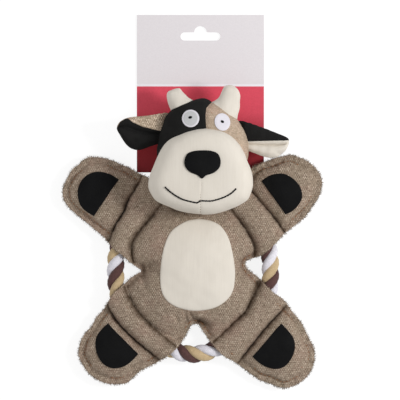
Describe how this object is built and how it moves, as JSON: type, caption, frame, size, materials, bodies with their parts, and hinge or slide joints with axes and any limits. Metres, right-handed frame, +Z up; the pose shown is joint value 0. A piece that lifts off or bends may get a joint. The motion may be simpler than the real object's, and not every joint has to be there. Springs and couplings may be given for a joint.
{
  "type": "plush rope toy",
  "caption": "Flat stuffed dog toy shaped as a cow, with a twisted rope ring running through sewn sleeves in its limbs, a squeaker inside and a bare hang card behind the head",
  "frame": {"origin": "Under the middle of the whole toy with its hang card, on the table that it lies on", "axes": "+Z up out of the belly, +Y from the feet to the head and the top of the hang card, +X to the right in the picture"},
  "size_m": [0.2084, 0.3012, 0.0682],
  "materials": {
    "burlap": "coarse taupe woven cloth",
    "canvas": "cream canvas",
    "black_cloth": "black cloth",
    "rope_cotton": "twisted cotton rope in white, beige and brown",
    "wadding": "polyester fibre filling",
    "grey_felt": "grey felt",
    "white_felt": "white felt",
    "squeaker_plastic": "moulded white plastic",
    "tape": "thin wrap",
    "card": "printed card, pale at the top and red below",
    "pin_plastic": "clear nylon"
  },
  "bodies": {
    "trunk": {"trunk_front_panel": "burlap", "trunk_back_panel": "burlap", "trunk_front_wadding": "wadding", "trunk_back_wadding": "wadding", "squeaker_bladder": "squeaker_plastic", "squeaker_reed": "squeaker_plastic", "belly_patch": "canvas", "left_arm_sleeve": "burlap", "right_arm_sleeve": "burlap", "left_leg_sleeve": "burlap", "right_leg_sleeve": "burlap", "neck": "burlap"},
    "rope": {"rope_ring": "rope_cotton", "rope_join_tape": "tape"},
    "head": {"forehead_black_panel": "black_cloth", "forehead_tan_panel": "burlap", "head_back_panel": "burlap", "muzzle_left_panel": "canvas", "muzzle_right_panel": "canvas", "head_wadding": "wadding", "nose": "black_cloth", "left_eye": "grey_felt", "left_pupil": "black_cloth", "right_eye": "white_felt", "right_pupil": "black_cloth", "left_horn": "canvas", "right_horn": "canvas", "hang_card": "card", "card_pin_1": "pin_plastic", "card_pin_2": "pin_plastic"},
    "left_ear": {"left_ear_front": "burlap", "left_ear_back": "black_cloth"},
    "right_ear": {"right_ear_front": "black_cloth", "right_ear_back": "canvas"},
    "left_arm_end": {"left_arm_paw": "burlap", "left_arm_pad": "black_cloth"},
    "right_arm_end": {"right_arm_paw": "burlap", "right_arm_pad": "black_cloth"},
    "left_leg_end": {"left_leg_foot": "burlap", "left_leg_pad": "black_cloth"},
    "right_leg_end": {"right_leg_foot": "burlap", "right_leg_pad": "black_cloth"}
  },
  "joints": [
    {"name": "rope_turn", "type": "hinge", "parent": "trunk", "child": "rope", "pos_m": [0.0007, -0.05484, 0.0093], "axis": [0, 0, 1], "continuous": true},
    {"name": "head_tilt", "type": "hinge", "parent": "trunk", "child": "head", "pos_m": [0.0069, -0.00084, 0.033], "axis": [0, 0, -1], "range_deg": [-15, 15], "stiffness_Nm_per_rad": 0.08},
    {"name": "left_ear_flap", "type": "hinge", "parent": "head", "child": "left_ear", "pos_m": [-0.02895, 0.05716, 0.0263], "axis": [0.0523, 0.9986, 0], "range_deg": [-35, 35], "stiffness_Nm_per_rad": 0.01},
    {"name": "right_ear_flap", "type": "hinge", "parent": "head", "child": "right_ear", "pos_m": [0.047, 0.05366, 0.0263], "axis": [0, -1, 0], "range_deg": [-35, 35], "stiffness_Nm_per_rad": 0.01},
    {"name": "left_arm_fold", "type": "hinge", "parent": "trunk", "child": "left_arm_end", "pos_m": [-0.05602, -0.00566, 0.0093], "axis": [0.5664, 0.8241, 0], "range_deg": [-12, 40], "stiffness_Nm_per_rad": 0.05},
    {"name": "right_arm_fold", "type": "hinge", "parent": "trunk", "child": "right_arm_end", "pos_m": [0.05486, -0.00286, 0.0093], "axis": [-0.6074, 0.7944, 0], "range_deg": [-40, 0], "stiffness_Nm_per_rad": 0.05},
    {"name": "left_leg_fold", "type": "hinge", "parent": "trunk", "child": "left_leg_end", "pos_m": [-0.05063, -0.109, 0.0093], "axis": [-0.7071, 0.7071, 0], "range_deg": [-45, 50], "stiffness_Nm_per_rad": 0.05},
    {"name": "right_leg_fold", "type": "hinge", "parent": "trunk", "child": "right_leg_end", "pos_m": [0.056, -0.10492, 0.0093], "axis": [-0.6613, -0.7501, 0], "range_deg": [-45, 50], "stiffness_Nm_per_rad": 0.05}
  ]
}
